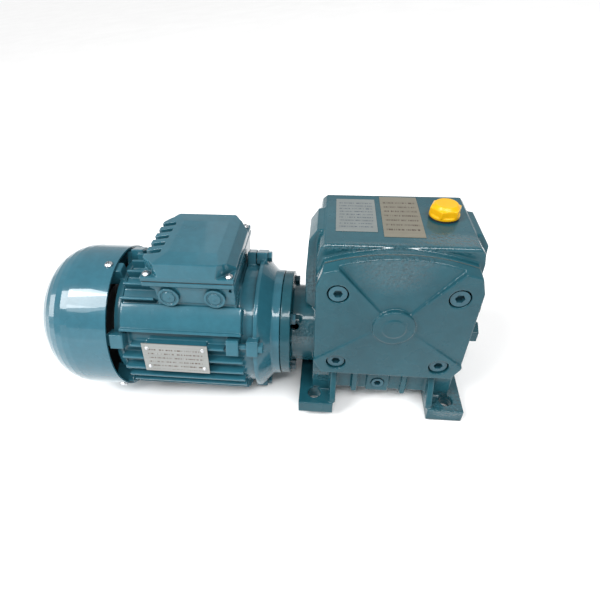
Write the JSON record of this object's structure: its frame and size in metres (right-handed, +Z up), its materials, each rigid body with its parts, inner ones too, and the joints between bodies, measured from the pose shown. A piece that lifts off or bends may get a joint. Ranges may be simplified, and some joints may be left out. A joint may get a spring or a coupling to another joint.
{
  "type": "worm gearbox with flange-mounted motor",
  "caption": "Foot-mounted worm gearbox with an arched bolted cover and a coaxial finned electric motor with a domed fan cowl and terminal box.",
  "frame": {"origin": "centre of the foot bolt pattern on the sole plane, under the point where the worm axis and the wheel axis cross in plan", "axes": "+X along the worm and motor axis away from the motor, +Y along the output shaft towards its keyed end, +Z up from the feet"},
  "size_m": [0.358, 0.16, 0.1787],
  "materials": {
    "cast_paint": "gloss enamel over rough casting",
    "motor_paint": "gloss enamel",
    "bright_steel": "zinc plated",
    "dark_steel": "oiled or painted over",
    "bearing_steel": "ground",
    "shaft_steel": "turned",
    "grey_iron": "as cast",
    "bronze": "machined",
    "copper": "varnished winding",
    "lamination": "stacked sheet",
    "rubber": "matt",
    "gasket": "fibre sheet",
    "black_plastic": "moulded",
    "yellow_plastic": "moulded",
    "label_foil": "brushed foil"
  },
  "bodies": {
    "case": {"housing": "cast_paint", "front_cover": "cast_paint", "cover_gasket": "gasket", "cover_screws": "cast_paint", "output_cap": "cast_paint", "output_cap_screws": "bright_steel", "output_seal": "rubber", "output_bearing_outer": "bearing_steel", "output_bearing_balls": "bearing_steel", "worm_cap": "cast_paint", "worm_cap_gasket": "gasket", "worm_cap_screws": "cast_paint", "worm_seal": "rubber", "worm_circlip": "dark_steel", "worm_bearing_outer": "bearing_steel", "worm_bearing_balls": "bearing_steel", "filler_plug": "yellow_plastic", "filler_washer": "rubber", "level_plug": "cast_paint", "drain_plug": "cast_paint", "label_left": "label_foil", "label_right": "label_foil", "flange_bolts": "motor_paint", "front_shield": "motor_paint", "motor_frame": "motor_paint", "rear_shield": "motor_paint", "tie_bolts": "motor_paint", "rear_bolts": "motor_paint", "stator_core": "lamination", "windings": "copper", "wave_spring": "bearing_steel", "motor_bearing_outer": "bearing_steel", "motor_bearing_balls": "bearing_steel", "fan_cowl": "motor_paint", "cowl_screws": "bright_steel", "box_base": "motor_paint", "box_gasket": "rubber", "box_lid": "motor_paint", "lid_screws": "bright_steel", "knockouts": "motor_paint", "terminal_board": "black_plastic", "terminal_studs": "bronze", "terminal_nuts": "bronze", "nameplate": "label_foil", "nameplate_rivets": "label_foil"},
    "output": {"output_shaft": "shaft_steel", "wheel_hub": "grey_iron", "wheel_rim": "bronze", "rim_screws": "dark_steel", "wheel_key": "shaft_steel", "wheel_spacers": "shaft_steel", "output_bearing_inner": "bearing_steel"},
    "rotor": {"worm_shaft": "shaft_steel", "worm_bearing_inner": "bearing_steel", "motor_shaft": "shaft_steel", "coupling_key": "shaft_steel", "rotor_core": "lamination", "motor_bearing_inner": "bearing_steel", "fan": "black_plastic", "fan_clip": "dark_steel"}
  },
  "joints": [
    {"name": "output_turn", "type": "hinge", "parent": "case", "child": "output", "pos_m": [0, 0, 0.1], "axis": [0, 1, 0], "continuous": true},
    {"name": "worm_turn", "type": "hinge", "parent": "case", "child": "rotor", "pos_m": [0, 0, 0.05], "axis": [1, 0, 0], "continuous": true}
  ],
  "couplings": [
    {"joint": "worm_turn", "follows": "output_turn", "ratio": 30}
  ]
}
